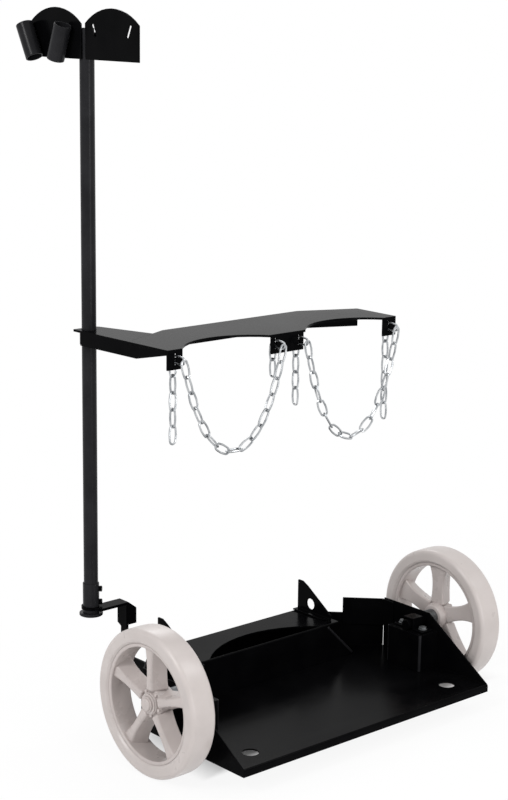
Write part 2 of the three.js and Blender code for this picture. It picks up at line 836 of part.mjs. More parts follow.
// Torch holder plate in side view, arched on top; the near one has two leaning slots
function holderPlate(side) {
  const near = holderGapY + (side * holderGap) / 2;
  const far = near + side * holderWidth;
  const shoulder = holderBottom + holderSide;
  const half = holderWidth / 2;
  const radius = (half ** 2 + holderCrown ** 2) / (2 * holderCrown);
  const centreY = (near + far) / 2;
  const centreZ = shoulder + holderCrown - radius;
  const spread = Math.asin(half / radius);
  const outline = new THREE.Shape();
  outline.moveTo(centreY - half, holderBottom);
  outline.lineTo(centreY + half, holderBottom);
  outline.absarc(centreY, centreZ, radius, Math.PI / 2 - spread, Math.PI / 2 + spread, false);
  outline.lineTo(centreY - half, holderBottom);
  const plate = sideSheet(outline, holderSheet, holderFrontX);
  if (side > 0) return plate;
  const lean = THREE.MathUtils.degToRad(slotLean);
  const slots = [-1, 1].map((end) => {
    const slot = new THREE.BoxGeometry(4 * holderSheet, slotWide, slotLong);
    slot.rotateX(-end * lean);
    return slot.translate(holderFrontX, centreY + end * (half - slotInset), holderBottom + slotRise);
  });
  return cut(solidOf(plate), slots);
}

// Saddle: a hat section round the back of the post, welded to both plates by its ears
function holderSaddle() {
  const face = holderBackX + seatGap;
  const back = postX + saddleInner;
  const inner = saddleInner;
  const outer = saddleInner + holderSheet;
  const ear = outer + saddleEar;
  const plan = polygon(
    [
      [face, -ear],
      [face, -inner],
      [back, -inner],
      [back, inner],
      [face, inner],
      [face, ear],
      [face + holderSheet, ear],
      [face + holderSheet, outer],
      [back + holderSheet, outer],
      [back + holderSheet, -outer],
      [face + holderSheet, -outer],
      [face + holderSheet, -ear],
    ].map(([x, y]) => [x, postY + y]),
  );
  return flatSheet(plan, saddleHeight, saddleBottom);
}

function torchTube() {
  return ring(tubeRadius - tubeWall, tubeRadius, -tubeLength / 2, tubeLength / 2);
}

// One chain link between two joint points, flat across the given side direction. The negative
// tube radius puts a corner of the wire section on the inside, where the links bear.
function chainLink(from, to, side) {
  const flat = Math.cos(Math.PI / linkSteps);
  const bend = (linkWidth / 2 - wireRadius) / flat;
  const link = new THREE.TorusGeometry(bend, -wireRadius, wireSides, linkSteps).rotateZ(Math.PI / linkSteps);
  const along = new THREE.Vector3().subVectors(to, from);
  const stretch = along.length() / 2 + wireRadius - linkBite / 2 - bend * flat;
  const place = link.attributes.position;
  for (let i = 0; i < place.count; i += 1) {
    place.setY(i, place.getY(i) + Math.sign(place.getY(i)) * stretch);
  }
  along.normalize();
  const wide = side.clone().addScaledVector(along, -side.dot(along)).normalize();
  const basis = new THREE.Matrix4().makeBasis(wide, along, new THREE.Vector3().crossVectors(wide, along));
  basis.setPosition(new THREE.Vector3().addVectors(from, to).multiplyScalar(0.5));
  return link.applyMatrix4(basis);
}

// Joint points of links that hang between two hooks at one height
function hangingPoints(start, end, links) {
  const length = links * linkPitch;
  const span = end.x - start.x;
  let low = 0.01;
  let high = 20;
  while (high - low > 1e-9) {
    const guess = (low + high) / 2;
    if (Math.sinh(guess) / guess < length / span) low = guess;
    else high = guess;
  }
  const scale = span / (2 * low);
  const points = [];
  for (let i = 0; i <= links; i += 1) {
    const run = i * linkPitch - length / 2;
    const x = scale * Math.asinh(run / scale);
    const drop = scale * (Math.cosh(x / scale) - Math.cosh(low));
    points.push(new THREE.Vector3((start.x + end.x) / 2 + x, start.y, start.z + drop));
  }
  return points;
}

function tailPoints(hook, links) {
  const count = { length: links + 1 };
  return Array.from(count, (_, i) => new THREE.Vector3(hook.x, hook.y, hook.z - i * linkPitch));
}

// A run of links, each turned a quarter from the last, with a twist shared along the run
function linkRun(points, twist) {
  const across = new THREE.Vector3(0, 1, 0);
  const step = Math.PI / 2 + twist / (points.length - 2);
  const links = [];
  for (let i = 0; i + 1 < points.length; i += 1) {
    const along = new THREE.Vector3().subVectors(points[i + 1], points[i]);
    const inPlane = new THREE.Vector3().crossVectors(across, along).normalize();
    const side = inPlane.multiplyScalar(Math.cos(i * step)).addScaledVector(across, Math.sin(i * step));
    links.push(chainLink(points[i], points[i + 1], side));
  }
  return links;
}

// One chain: a loop in front of its two tabs, a link through each slot and a tail behind each
function chain(startX, endX, loopLinks, startTail, endTail) {
  const up = new THREE.Vector3(0, 0, 1);
  const front = [startX, endX].map((x) => new THREE.Vector3(x, hookBackY - linkPitch, slotZ));
  const back = [startX, endX].map((x) => new THREE.Vector3(x, hookBackY, slotZ));
  const loopTwist = loopLinks % 2 === 0 ? Math.PI / 2 : 0;
  const links = [
    ...linkRun(hangingPoints(front[0], front[1], loopLinks), loopTwist),
    chainLink(front[0], back[0], up),
    chainLink(front[1], back[1], up),
    ...linkRun(tailPoints(back[0], startTail), 0),
    ...linkRun(tailPoints(back[1], endTail), 0),
  ];
  return joined(links);
}

// Assembly
const cart = new THREE.Group();

addPart(cart, "tray_pan", trayPan(), blackPaint);
addPart(cart, "rear_shelf", rearShelf(), blackPaint);
for (const [word, side] of [["left", -1], ["right", 1]]) {
  addPart(cart, `${word}_corner_brace`, cornerBrace(side), blackPaint);
  addPart(cart, `${word}_gusset`, gusset(side), blackPaint);
  addPart(cart, `${word}_axle_bracket`, axleBracket(side), blackPaint);
  addPart(cart, `${word}_axle_strap`, axleStrap(side), blackPaint);
  [-strapBoltY, strapBoltY].forEach((y, i) => {
    const bolt = addPart(cart, `${word}_strap_bolt_${i + 1}`, boltSolid(2 * sheet + seatGap), zinc);
    bolt.position.set(side * strapX, y, bracketTop + seatGap + sheet);
    bolt.rotation.x = Math.PI;
  });
  const wheel = new THREE.Group();
  wheel.position.set(side * wheelX, 0, axleHeight);
  wheel.rotation.z = side > 0 ? 0 : Math.PI;
  cart.add(wheel);
  addPart(wheel, `${word}_tyre`, tyre(), tyreRubber);
  addPart(wheel, `${word}_wheel_hub`, wheelHub(), hubPlastic);
  addPart(wheel, `${word}_wheel_bush`, wheelBush(), nylon);
  addPart(wheel, `${word}_stub_axle`, stubAxle(), blackPaint);
  addPart(wheel, `${word}_axle_spacer`, axleSpacer(), zinc);
  addPart(wheel, `${word}_axle_washer`, axleWasher(), hubPlastic);
  addPart(wheel, `${word}_axle_cap`, axleCap(), hubPlastic);
}

addPart(cart, "foot_bracket", footBracket(), blackPaint);
addPart(cart, "socket_base", socketBase(), blackPaint);
addPart(cart, "side_rail", sideRail(), blackPaint);
addPart(cart, "post", post(), blackPaint);
addPart(cart, "post_socket", postSocket(), blackPaint);
socketBoltHeights.forEach((z, i) => {
  addPart(cart, `socket_bolt_${i + 1}`, socketScrew(), blackPaint).position.set(postX, postY, z);
});
legBoltHeights.forEach((z, i) => {
  const bolt = addPart(cart, `leg_bolt_${i + 1}`, boltSolid(footThickness + seatGap + railThickness), zinc);
  bolt.position.set(legX, legBoltY, z);
  bolt.rotation.y = Math.PI / 2;
});

addPart(cart, "yoke_plate", yokePlate(), blackPaint);
addPart(cart, "yoke_arm", yokeArm(), blackPaint);
addPart(cart, "arm_collar", armCollar(), blackPaint);

addPart(cart, "near_holder_plate", holderPlate(-1), blackPaint);
addPart(cart, "far_holder_plate", holderPlate(1), blackPaint);
addPart(cart, "holder_saddle", holderSaddle(), blackPaint);
const torchTubes = [
  ["near_torch_tube", tubeNearY, tubeNearLean],
  ["far_torch_tube", tubeFarY, tubeFarLean],
];
for (const [name, y, lean] of torchTubes) {
  const tube = addPart(cart, name, torchTube(), blackPaint);
  tube.position.set(holderFrontX - seatGap - tubeRadius, y, tubeMidZ);
  tube.rotation.x = THREE.MathUtils.degToRad(lean);
}

const leftHooks = hookPlaces.slice(0, 2);
const rightHooks = hookPlaces.slice(2);
addPart(cart, "left_chain", chain(...leftHooks, leftLoopLinks, leftTailLinks, leftInnerTailLinks), zinc);
addPart(cart, "right_chain", chain(...rightHooks, rightLoopLinks, rightInnerTailLinks, rightTailLinks), zinc);

// The origin is on the floor under the middle of the overall box.
const box = new THREE.Box3().setFromObject(cart);
cart.position.y = -(box.min.y + box.max.y) / 2;

export default cart;
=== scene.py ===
import math
import bmesh
import bpy
from mathutils import Matrix, Vector


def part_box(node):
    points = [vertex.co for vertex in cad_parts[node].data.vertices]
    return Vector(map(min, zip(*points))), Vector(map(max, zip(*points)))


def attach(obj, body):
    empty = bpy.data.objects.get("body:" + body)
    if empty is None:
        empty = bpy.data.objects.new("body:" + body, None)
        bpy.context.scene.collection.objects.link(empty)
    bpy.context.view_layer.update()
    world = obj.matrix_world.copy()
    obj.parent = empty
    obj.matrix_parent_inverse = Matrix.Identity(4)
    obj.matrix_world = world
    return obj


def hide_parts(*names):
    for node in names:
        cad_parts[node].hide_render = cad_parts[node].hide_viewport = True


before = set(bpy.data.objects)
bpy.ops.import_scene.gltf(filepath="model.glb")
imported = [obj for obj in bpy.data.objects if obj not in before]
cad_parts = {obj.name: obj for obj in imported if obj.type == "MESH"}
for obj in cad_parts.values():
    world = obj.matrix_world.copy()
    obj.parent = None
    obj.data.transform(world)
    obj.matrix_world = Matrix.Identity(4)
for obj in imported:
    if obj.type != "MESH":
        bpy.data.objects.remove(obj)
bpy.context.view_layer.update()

scene = bpy.context.scene
quarter = math.pi / 2
fullTurn = 2 * math.pi
mmPerMetre = 1000
tyreLow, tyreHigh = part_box("left_tyre")
axleY = (tyreLow[1] + tyreHigh[1]) / 2
toFrame = Matrix.Translation((0, axleY, 0)) @ Matrix.Scale(1 / mmPerMetre, 4)   # mm from the axle to metres
fromFrame = toFrame.inverted()


def hexColour(text):
    values = [int(text[i:i + 2], 16) / 255 for i in (1, 3, 5)]
    return [v / 12.92 if v <= 0.04045 else ((v + 0.055) / 1.055) ** 2.4 for v in values] + [1]


def addNode(tree, kind, inputs=(), **settings):
    node = tree.nodes.new(kind)
    for key, value in settings.items():
        setattr(node, key, value)
    for key, value in dict(inputs).items():
        if isinstance(value, bpy.types.NodeSocket):
            tree.links.new(value, node.inputs[key])
        else:
            node.inputs[key].default_value = value
    return node


# sizes are of each pattern's features in mm, and depths are in mm too
# the relief is drawn coarser than the real grain, which is too fine to show
finishWork = {
    # sprayed enamel: deep wet black with a faint orange peel
    "glossBlackPaint": {
        "slot": "black_paint", "shader": {"Specular IOR Level": 0.017},
        "tintSize": 60, "pale": "#080809", "deep": "#040405",
        "sheenSize": 120, "smooth": 0.17, "rough": 0.24,
        "reliefSize": 5, "reliefDepth": 0.05, "relief": 0.2},
    # enamel on drawn tube: charcoal with a long satin sheen; on some folds and wall ends of black sheet it
    # is a painted highlight
    "satinBlackTube": {
        "slot": "black_paint", "shader": {"Specular IOR Level": 0.08},
        "tintSize": 40, "pale": "#222224", "deep": "#1a1a1c",
        "sheenSize": 70, "smooth": 0.24, "rough": 0.32,
        "reliefSize": 4, "reliefDepth": 0.04, "relief": 0.2},
    # fresh zinc plate: cool bright metal with a cloudy bloom
    "brightZinc": {
        "slot": "zinc_plate", "shader": {"Metallic": 1},
        "tintSize": 14, "pale": "#c6c8ca", "deep": "#9c9fa2",
        "sheenSize": 9, "smooth": 0.20, "rough": 0.38,
        "reliefSize": 1.5, "reliefDepth": 0.04, "relief": 0.3},
    # zinc plate, greyer and matter than the bright zinc
    "dullZinc": {
        "slot": "zinc_plate", "shader": {"Metallic": 1},
        "tintSize": 10, "pale": "#7c7e80", "deep": "#5d5f61",
        "sheenSize": 7, "smooth": 0.45, "rough": 0.6,
        "reliefSize": 1.5, "reliefDepth": 0.04, "relief": 0.3},
    # moulded rubber: warm grey with a satin sheen
    "paleRubber": {
        "slot": "tyre_rubber", "shader": {},
        "tintSize": 45, "pale": "#c1b9b6", "deep": "#bbb3b0",
        "sheenSize": 30, "smooth": 0.27, "rough": 0.36,
        "reliefSize": 1.2, "reliefDepth": 0.05, "relief": 0.25},
    # moulded plastic: a little darker and glossier than the rubber
    "mouldedHub": {
        "slot": "hub_plastic", "shader": {},
        "tintSize": 38, "pale": "#bcb3b0", "deep": "#b5aca9",
        "sheenSize": 24, "smooth": 0.24, "rough": 0.36,
        "reliefSize": 2.5, "reliefDepth": 0.04, "relief": 0.25},
    # natural nylon: milky and waxy
    "naturalNylon": {
        "slot": "bush_nylon", "shader": {},
        "tintSize": 12, "pale": "#e8e3d8", "deep": "#ddd7ca",
        "sheenSize": 6, "smooth": 0.38, "rough": 0.5,
        "reliefSize": 0.8, "reliefDepth": 0.03, "relief": 0.2},
}
# detail of each noise, and the parts of its range that reach the two shades and the two roughnesses
patternWork = {
    "detail": {"tint": 4, "sheen": 3, "relief": 2},
    "tintStops": ((0.35, "deep"), (0.65, "pale")), "sheenLow": 0.3, "sheenHigh": 0.7,
}


def makeFinish(name, work):
    material = bpy.data.materials.new(name)
    material.use_nodes = True
    tree = material.node_tree
    surface = tree.nodes["Principled BSDF"]
    for socket, value in work["shader"].items():
        surface.inputs[socket].default_value = value
    place = addNode(tree, "ShaderNodeTexCoord").outputs["Object"]
    noise = {}
    for use, detail in patternWork["detail"].items():
        wave = {"Vector": place, "Scale": mmPerMetre / work[use + "Size"], "Detail": detail}
        noise[use] = addNode(tree, "ShaderNodeTexNoise", wave).outputs["Fac"]
    shades = addNode(tree, "ShaderNodeValToRGB", {"Fac": noise["tint"]})
    for stop, (position, shade) in zip(shades.color_ramp.elements, patternWork["tintStops"]):
        stop.position = position
        stop.color = hexColour(work[shade])
    sheen = addNode(tree, "ShaderNodeMapRange", {
        "Value": noise["sheen"], "From Min": patternWork["sheenLow"], "From Max": patternWork["sheenHigh"],
        "To Min": work["smooth"], "To Max": work["rough"]})
    relief = addNode(tree, "ShaderNodeBump", {
        "Height": noise["relief"], "Strength": work["relief"],
        "Distance": work["reliefDepth"] / mmPerMetre})
    tree.links.new(shades.outputs["Color"], surface.inputs["Base Color"])
    tree.links.new(sheen.outputs["Result"], surface.inputs["Roughness"])
    tree.links.new(relief.outputs["Normal"], surface.inputs["Normal"])
    return material


finishes = {name: makeFinish(name, work) for name, work in finishWork.items()}
print("finishes made")

# smooth faces meet under the sharp angle in degrees, and near points in mm become one
meshWork = {"sharp": 34, "merge": 0.004, "spinMerge": 0.002, "cornerSteps": 5}


def addShape(target, part, matrix=Matrix.Identity(4)):
    part.transform(matrix)
    mesh = bpy.data.meshes.new("shape")
    part.to_mesh(mesh)
    part.free()
    target.from_mesh(mesh)
    bpy.data.meshes.remove(mesh)


def finishPiece(name, bm, body, finish, nodes, place=Matrix.Identity(4), second=None):
    # a shape in mm becomes one object that rides on a body and stands for CAD nodes
    bmesh.ops.remove_doubles(bm, verts=bm.verts, dist=meshWork["merge"])
    bmesh.ops.recalc_face_normals(bm, faces=bm.faces)
    bm.transform(toFrame @ place)
    mesh = bpy.data.meshes.new(name)
    bm.to_mesh(mesh)
    bm.free()
    # the second finish, where there is one, paints highlights on folds and strips
    for appliedFinish in (finish, second):
        if appliedFinish:
            mesh.materials.append(finishes[appliedFinish])
    mesh.shade_smooth()
    mesh.set_sharp_from_angle(angle=math.radians(meshWork["sharp"]))
    piece = bpy.data.objects.new(name, mesh)
    scene.collection.objects.link(piece)
    even = piece.modifiers.new("evenNormals", "WEIGHTED_NORMAL")
    even.keep_sharp = True
    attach(piece, body)
    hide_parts(*nodes)


def roundEdges(bm, edges, width, segments=3):
    made = bmesh.ops.bevel(bm, geom=edges, offset=width, offset_type="OFFSET", affect="EDGES",
                           segments=segments, profile=0.5, material=-1, clamp_overlap=True)
    return made["faces"]


def spunProfile(corners, rounds, steps, closed=True):
    # a section of (radius, height) corners, some of them rounded, turned about Z
    bm = bmesh.new()
    points = [bm.verts.new((radius, 0, height)) for radius, height in corners]
    following = points[1:] + points[:1] if closed else points[1:]
    for pair in zip(points, following):
        bm.edges.new(pair)
    for width in sorted(set(rounds.values())):
        chosen = [points[i] for i, value in rounds.items() if value == width]
        bmesh.ops.bevel(bm, geom=chosen, offset=width, offset_type="OFFSET", affect="VERTICES",
                        segments=meshWork["cornerSteps"], profile=0.5, material=-1)
    bmesh.ops.spin(bm, geom=bm.verts[:] + bm.edges[:], cent=(0, 0, 0), axis=(0, 0, 1), angle=fullTurn,
                   steps=steps, use_merge=True)
    bmesh.ops.remove_doubles(bm, verts=bm.verts, dist=meshWork["spinMerge"])
    bmesh.ops.recalc_face_normals(bm, faces=bm.faces)
    return bm


def tubeShape(inner, outer, low, high, lip, steps=56):
    corners = [(inner, low), (outer, low), (outer, high), (inner, high)]
    return spunProfile(corners, {0: lip, 1: lip, 2: lip, 3: lip}, steps)


def barShape(radius, low, high, lip, steps=48):
    corners = [(0, low), (radius, low), (radius, high), (0, high)]
    return spunProfile(corners, {1: lip, 2: lip}, steps, closed=False)


# lengths in mm from the axle, angles in degrees
sheetWork = {
    "edge": 0.9,      # broken edge of cut sheet
    "sharp": 40,      # edges that turn more than this are broken
    "flat": 0.5,      # faces that turn less than this are one
    "merge": 0.003, "reach": 0.05, "bendSteps": 5,
    "nodes": [
        "left_corner_brace", "right_corner_brace", "left_gusset", "right_gusset", "left_axle_bracket",
        "right_axle_bracket", "left_axle_strap", "right_axle_strap", "rear_shelf", "tray_pan",
        "foot_bracket", "side_rail", "yoke_plate", "yoke_arm", "near_holder_plate", "far_holder_plate",
        "holder_saddle"],
    # bends by node: the fold's fixed coordinates and its radius
    "bends": {
        "tray_pan": [({"y": -165, "z": 47}, 6)],
        "rear_shelf": [({"y": 107, "z": 119}, 2.6), ({"y": 211, "z": 119}, 4)],
        "yoke_plate": [({"y": 60, "z": 697}, 3.4), ({"y": 211, "z": 697}, 3.4)],
        "left_axle_bracket": [({"x": 241, "y": 42}, 3.5), ({"x": 241, "y": -42}, 3.5)],
        "right_axle_bracket": [({"x": 241, "y": 42}, 3.5), ({"x": 241, "y": -42}, 3.5)],
        "near_holder_plate": [({"x": 276, "y": 275}, 2.4)],
    },
    # a flange corner cut down by a drop, from a hinge line at one x
    "cuts": {"foot_bracket": {"corner": {"x": 180, "z": 198}, "hinge": -198, "drop": 14}},
    # painted highlight: a round strip in the satin tube paint along the slanted ends of a wall, standing
    # for the light that their edges catch
    "highlightStrips": {"rear_shelf": {
        "foot": (214.5, 108.5, 50.2), "top": (150, 108.5, 114), "radius": 2.6, "lip": 1, "steps": 16}},
    # ends that meet another sheet stay square, so that no light passes the seam
    "square": {"rear_shelf": {"x": 178, "y": 208}, "tray_pan": {"x": 180.76, "y": 211}},
    # pieces whose strips and upright folds take the satin of the tubes as a painted highlight
    "paintedHighlights": ["rear_shelf", "left_axle_bracket", "right_axle_bracket", "near_holder_plate"],
}


def onLine(point, line):
    # x is matched on either hand of the cart
    found = {"x": abs(point.x), "y": point.y, "z": point.z}
    return all(abs(found[axis] - value) < sheetWork["reach"] for axis, value in line.items())


# painted highlight: the faces take the lighter satin finish where real edges catch the light
def paintHighlight(faces):
    for face in faces:
        face.material_index = 1   # the piece's second finish


def softSheet(node):
    work = sheetWork
    flat, sharp = math.radians(work["flat"]), math.radians(work["sharp"])
    bm = bmesh.new()
    bm.from_mesh(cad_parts[node].data)
    bm.transform(fromFrame)
    bmesh.ops.remove_doubles(bm, verts=bm.verts, dist=work["merge"])
    bmesh.ops.dissolve_limit(bm, angle_limit=flat, verts=bm.verts, edges=bm.edges)
    if node in work["cuts"]:
        cut = work["cuts"][node]
        bmesh.ops.bisect_plane(bm, geom=bm.verts[:] + bm.edges[:] + bm.faces[:],
                               plane_co=(cut["hinge"], 0, 0), plane_no=(1, 0, 0))
        corner = [v for v in bm.verts if onLine(v.co, cut["corner"])]
        bmesh.ops.translate(bm, verts=corner, vec=(0, 0, -cut["drop"]))
    for line, radius in work["bends"].get(node, []):
        bent = [e for e in bm.edges if all(onLine(v.co, line) for v in e.verts)]
        fold = roundEdges(bm, bent, radius, work["bendSteps"])
        # upright folds get a painted highlight in the lighter satin finish
        if "x" in line and node in work["paintedHighlights"]:
            paintHighlight(fold)
    square = [v for v in bm.verts if node in work["square"] and onLine(v.co, work["square"][node])]
    broken = [e for e in bm.edges if e.is_manifold and e.calc_face_angle() > sharp]
    roundEdges(bm, [e for e in broken if not all(v in square for v in e.verts)], work["edge"])
    # the strips along the slanted wall ends are painted highlights in the lighter satin finish
    if node in work["highlightStrips"]:
        bead = work["highlightStrips"][node]
        for side in (-1, 1):
            foot, top = (Vector((side * x, y, z)) for x, y, z in (bead["foot"], bead["top"]))
            along = (top - foot).to_track_quat("Z", "Y").to_matrix().to_4x4()
            bar = barShape(bead["radius"], 0, (top - foot).length, bead["lip"], bead["steps"])
            paintHighlight(bar.faces)
            addShape(bm, bar, Matrix.Translation(foot) @ along)
    return bm


for node in sheetWork["nodes"]:
    # the satin tube paint is the second finish, a painted highlight on these pieces
    second = "satinBlackTube" if node in sheetWork["paintedHighlights"] else None
    finishPiece(node + "_formed", softSheet(node), "rack", "glossBlackPaint", [node], second=second)
print("sheet pieces formed")

postWork = {
    "x": -260, "y": 290, "radius": 12.7, "wall": 2.5, "low": 186.3, "high": 1206, "lip": 0.9, "steps": 64,
    "clear": 13, "socketOuter": 14.6, "socketHigh": 240.3, "socketLip": 0.6,
    "baseRadius": 21, "baseLow": 181, "baseHigh": 186, "baseLip": 1.2,
    "collarRadius": 16, "collarLow": 671, "collarHigh": 692.7, "collarLip": 1,
}
p = postWork
atPost = Matrix.Translation((p["x"], p["y"], 0))
postShapes = {
    ("post_tube", "post"): tubeShape(
        p["radius"] - p["wall"], p["radius"], p["low"], p["high"], p["lip"], p["steps"]),
    ("post_socket_sleeve", "post_socket"): tubeShape(
        p["clear"], p["socketOuter"], p["low"], p["socketHigh"], p["socketLip"]),
    ("socket_base_disc", "socket_base"): barShape(
        p["baseRadius"], p["baseLow"], p["baseHigh"], p["baseLip"]),
    ("arm_collar_ring", "arm_collar"): tubeShape(
        p["clear"], p["collarRadius"], p["collarLow"], p["collarHigh"], p["collarLip"]),
}
for (name, node), bm in postShapes.items():
    finishPiece(name, bm, "rack", "satinBlackTube", [node], atPost)

torchWork = {
    "x": -291.3, "z": 1182, "inner": 12.5, "outer": 15, "half": 31, "lip": 0.9,
    # place along the holder and lean in degrees
    "tubes": {"near_torch_tube": (325, 21), "far_torch_tube": (411.6, -28)},
}
t = torchWork
for node, (y, lean) in t["tubes"].items():
    bm = tubeShape(t["inner"], t["outer"], -t["half"], t["half"], t["lip"])
    leaned = Matrix.Translation((t["x"], y, t["z"])) @ Matrix.Rotation(math.radians(lean), 4, "X")
    finishPiece(node + "_drawn", bm, "rack", "satinBlackTube", [node], leaned)
print("post and tubes made")

# made about Z with the outer side up, heights from the wheel's middle
wheelWork = {
    "x": 342, "height": 127, "steps": 112,
    "radius": 127, "half": 25, "bore": 102, "bead": 4, "crown": 0.8,
    "beadLip": 0.8, "beadRound": 1.6, "shoulder": 8, "crownRound": 6,
    "rimOuter": 101.7, "rimInner": 95.7, "rimHalf": 21, "rimRound": 2.5, "rimLip": 0.3,
    "bossRadius": 25, "bossNose": 19, "bossLow": -25, "bossStep": 9, "bossHigh": 15, "bossBore": 13.1,
    "bossTaper": 4, "taperHeight": 9, "noseDraft": 0.5, "bossSteps": 72,
    "bossRounds": {1: 1.5, 2: 3, 3: 2.5, 4: 1.2, 5: 1.2},   # by corner, from the bore's inner end
    "spokes": 5, "spokeRoot": 22, "spokeTip": 98.7, "waist": 27, "rootFlare": 10, "tipFlare": 26,
    "flarePower": 4, "spokeLow": -14, "spokeHigh": 16, "draft": 0.42, "spokeCorner": 40,
    "spokeRound": 4, "spokeRoundSteps": 5, "spokeSteps": 14, "spokeRows": 2,
    "lugs": 5, "lugRadius": 3.4, "lugCircle": 21.2, "lugHigh": 12.5, "lugSink": 2, "lugLip": 1.2,
    "lugSteps": 20,
    "bushInner": 9.8, "bushOuter": 12.8, "bushLip": 0.6,
}
axleWork = {
    "radius": 9.5, "low": -97, "high": 21.1, "lip": 1.2, "clear": 9.8,
    "spacerRadius": 15, "spacerLow": -48.7, "spacerHigh": -25.3, "spacerLip": 0.8,
    "washerRadius": 17, "washerLow": 15.3, "washerHigh": 17.3, "washerLip": 0.5,
    "capRadius": 13, "capLow": 17.6, "capStep": 20.2, "stepDraft": 0.2, "capSteps": 56,
    "domeRadius": 11.5, "domeDraft": 1, "capHigh": 24.6, "capRoof": 22, "domeRise": 0.6,
    "capRounds": {1: 0.5, 2: 0.5, 3: 0.2, 4: 2},   # by corner, from the mouth's inner edge
}
w, a = wheelWork, axleWork


def layWheel(side):
    # the wheel's own Z runs outwards along the axle, and its own X points straight down
    along = Matrix.Rotation(quarter, 4, "Y")
    face = Matrix.Rotation(0 if side > 0 else math.pi, 4, "Z")
    return Matrix.Translation((side * w["x"], 0, w["height"])) @ face @ along


def tyreShape():
    half, outer, bore, bead = w["half"], w["radius"], w["bore"], w["bead"]
    corners = [
        (bore, bead - half), (bore + bead, -half), (outer - w["crown"], -half), (outer, 0),
        (outer - w["crown"], half), (bore + bead, half), (bore, half - bead)]
    rounds = dict(enumerate([
        w["beadLip"], w["beadRound"], w["shoulder"], w["crownRound"], w["shoulder"], w["beadRound"],
        w["beadLip"]]))
    return spunProfile(corners, rounds, w["steps"])


def spokeShape():
    # wide on the inner side and narrow on the outer, with flared ends
    power = w["flarePower"]
    bm = bmesh.new()
    bmesh.ops.create_grid(bm, x_segments=w["spokeSteps"], y_segments=w["spokeRows"], size=0.5)
    for vert in bm.verts:
        share = vert.co.x + 0.5   # from the root to the tip
        width = w["waist"] + w["rootFlare"] * (1 - share) ** power + w["tipFlare"] * share ** power
        radius = w["spokeRoot"] + (w["spokeTip"] - w["spokeRoot"]) * share
        vert.co = Vector((radius, vert.co.y * width, w["spokeLow"]))
    made = bmesh.ops.extrude_face_region(bm, geom=bm.faces[:])
    raised = [v for v in made["geom"] if isinstance(v, bmesh.types.BMVert)]
    bmesh.ops.translate(bm, verts=raised, vec=(0, 0, w["spokeHigh"] - w["spokeLow"]))
    bmesh.ops.scale(bm, verts=raised, vec=(1, w["draft"], 1))
    bmesh.ops.recalc_face_normals(bm, faces=bm.faces)
    corners = [e for e in bm.edges if e.calc_face_angle() > math.radians(w["spokeCorner"])]
    roundEdges(bm, corners, w["spokeRound"], w["spokeRoundSteps"])
    return bm


def hubShape():
    bm = bmesh.new()
    rim = [
        (w["rimInner"], -w["rimHalf"]), (w["rimOuter"], -w["rimHalf"]), (w["rimOuter"], w["rimHalf"]),
        (w["rimInner"], w["rimHalf"])]
    rounds = {0: w["rimRound"], 1: w["rimLip"], 2: w["rimLip"], 3: w["rimRound"]}
    addShape(bm, spunProfile(rim, rounds, w["steps"]))
    boss = [
        (w["bossBore"], w["bossLow"]), (w["bossRadius"] - w["bossTaper"], w["bossLow"]),
        (w["bossRadius"], w["bossLow"] + w["taperHeight"]), (w["bossRadius"], w["bossStep"]),
        (w["bossNose"], w["bossStep"] + w["noseDraft"]), (w["bossNose"] - w["noseDraft"], w["bossHigh"]),
        (w["bossBore"], w["bossHigh"])]
    addShape(bm, spunProfile(boss, w["bossRounds"], w["bossSteps"]))
    spoke = spokeShape()
    for i in range(w["spokes"]):
        turned = Matrix.Rotation(math.pi + fullTurn * i / w["spokes"], 4, "Z")   # one points up
        addShape(bm, spoke.copy(), turned)
    spoke.free()
    for i in range(w["lugs"]):
        foot = w["bossStep"] - w["lugSink"]
        lug = barShape(w["lugRadius"], foot, w["lugHigh"], w["lugLip"], w["lugSteps"])
        turned = Matrix.Rotation(fullTurn * i / w["lugs"], 4, "Z")
        addShape(bm, lug, turned @ Matrix.Translation((w["lugCircle"], 0, 0)))
    return bm


def capShape():
    corners = [
        (a["clear"], a["capLow"]), (a["capRadius"], a["capLow"]), (a["capRadius"], a["capStep"]),
        (a["domeRadius"], a["capStep"] + a["stepDraft"]),
        (a["domeRadius"] - a["domeDraft"], a["capHigh"] - a["domeRise"]), (0, a["capHigh"]),
        (0, a["capRoof"]), (a["clear"], a["capRoof"] - a["domeRise"])]
    return spunProfile(corners, a["capRounds"], a["capSteps"])


for word, side in (("left", -1), ("right", 1)):
    lay = layWheel(side)
    turning, fixed = word + "_wheel", "rack"
    finishPiece(word + "_tyre_moulded", tyreShape(), turning, "paleRubber", [word + "_tyre"], lay)
    finishPiece(word + "_hub_moulded", hubShape(), turning, "mouldedHub", [word + "_wheel_hub"], lay)
    bm = tubeShape(w["bushInner"], w["bushOuter"], w["bossLow"], w["bossHigh"], w["bushLip"])
    finishPiece(word + "_bush_sleeve", bm, turning, "naturalNylon", [word + "_wheel_bush"], lay)
    bm = barShape(a["radius"], a["low"], a["high"], a["lip"])
    finishPiece(word + "_axle_bar", bm, fixed, "glossBlackPaint", [word + "_stub_axle"], lay)
    bm = tubeShape(a["clear"], a["spacerRadius"], a["spacerLow"], a["spacerHigh"], a["spacerLip"])
    finishPiece(word + "_spacer_ring", bm, fixed, "dullZinc", [word + "_axle_spacer"], lay)
    bm = tubeShape(a["clear"], a["washerRadius"], a["washerLow"], a["washerHigh"], a["washerLip"])
    finishPiece(word + "_washer_ring", bm, fixed, "mouldedHub", [word + "_axle_washer"], lay)
    finishPiece(word + "_cap_dome", capShape(), fixed, "mouldedHub", [word + "_axle_cap"], lay)
print("wheels made")

